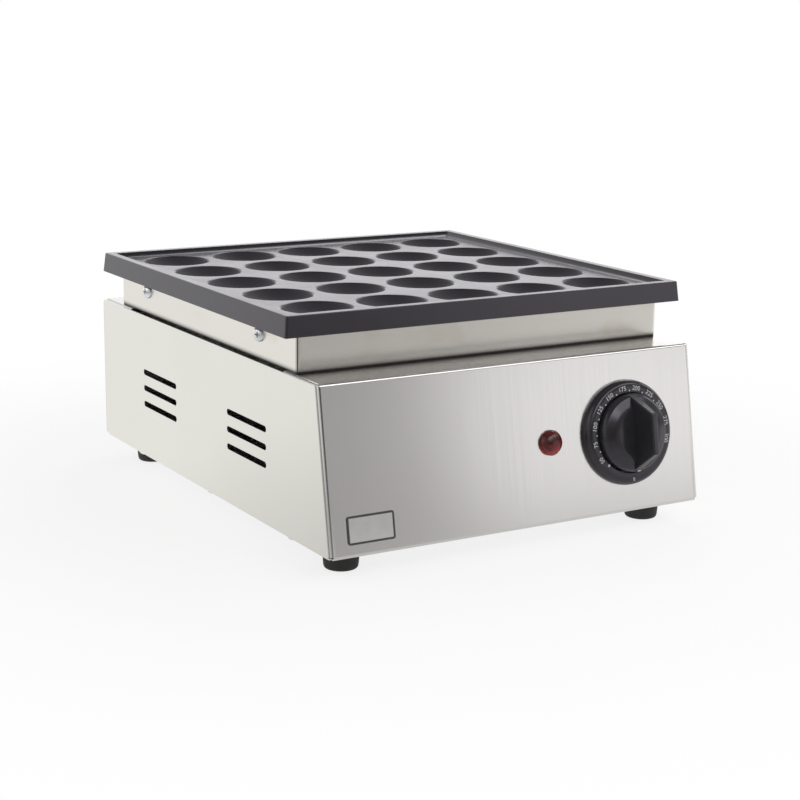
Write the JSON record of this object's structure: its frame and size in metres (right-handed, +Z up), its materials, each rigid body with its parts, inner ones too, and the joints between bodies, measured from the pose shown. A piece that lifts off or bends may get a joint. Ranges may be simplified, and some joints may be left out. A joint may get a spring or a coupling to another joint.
{
  "type": "countertop mini-pancake griddle",
  "caption": "Countertop electric mini-pancake griddle: a dark cast plate with a grid of dished cups on a stainless collar and raked casing, with a temperature knob and indicator light.",
  "frame": {"origin": "on the floor, under the middle of the whole object's plan", "axes": "+Z up, -Y towards the user at the front panel, +X to the user's right"},
  "size_m": [0.3194, 0.4236, 0.1684],
  "materials": {
    "stainless": "brushed stainless sheet",
    "plate_coating": "dark satin non-stick coating on a casting",
    "galvanised": "dull galvanised sheet and bar",
    "zinc_fastener": "bright zinc plate",
    "black_gloss": "glossy black plastic",
    "black_rubber": "matt black rubber",
    "red_lens": "clear red moulded lens",
    "white_plastic": "white moulding",
    "black_plastic": "black moulding",
    "brass": "bare brass and copper",
    "heater_sheath": "dark oxidised sheath",
    "fibre_board": "ceramic fibre board",
    "badge_steel": "blank plate",
    "brown_insulation": "wire insulation",
    "blue_insulation": "wire insulation",
    "green_insulation": "wire insulation"
  },
  "bodies": {
    "casing": {"griddle_plate": "plate_coating", "collar": "stainless", "collar_side_screws": "zinc_fastener", "front_panel": "stainless", "rear_panel": "stainless", "left_side_panel": "stainless", "right_side_panel": "stainless", "base_plate": "galvanised", "foot_front_left": "black_rubber", "foot_front_right": "black_rubber", "foot_rear_left": "black_rubber", "foot_rear_right": "black_rubber", "foot_studs": "zinc_fastener", "foot_nuts": "zinc_fastener", "base_screws": "zinc_fastener", "base_nuts": "zinc_fastener", "rear_panel_screws": "zinc_fastener", "rear_panel_nuts": "zinc_fastener", "collar_flange_screws": "zinc_fastener", "collar_flange_nuts": "zinc_fastener", "heat_shield_pan": "galvanised", "insulation_board": "fibre_board", "heating_element": "heater_sheath", "element_clamp_bars": "galvanised", "clamp_studs": "zinc_fastener", "clamp_nuts": "zinc_fastener", "sensor_bulb": "brass", "bulb_pads": "galvanised", "capillary_tube": "brass", "thermostat_body": "white_plastic", "thermostat_screws": "zinc_fastener", "dial_bezel": "black_gloss", "indicator_lens": "red_lens", "indicator_body": "white_plastic", "indicator_nut": "black_plastic", "badge_plate": "badge_steel", "gland_body": "black_plastic", "gland_seal": "black_rubber", "gland_dome_nut": "black_plastic", "gland_lock_nut": "black_plastic", "terminal_block": "white_plastic", "terminal_block_screws": "zinc_fastener", "terminal_block_nuts": "zinc_fastener", "terminal_clamp_screws": "brass", "earth_stud": "brass", "earth_nut": "brass", "live_wire": "brown_insulation", "switched_wire": "black_plastic", "neutral_wire": "blue_insulation", "lamp_live_wire": "black_plastic", "lamp_neutral_wire": "blue_insulation", "earth_wire": "green_insulation"},
    "knob": {"control_knob": "black_gloss", "thermostat_spindle": "brass"}
  },
  "joints": [
    {"name": "knob_turn", "type": "hinge", "parent": "casing", "child": "knob", "pos_m": [0.0891, -0.17592, 0.07188], "axis": [0, -0.9846, 0.1748], "range_deg": [-285, 0]}
  ]
}
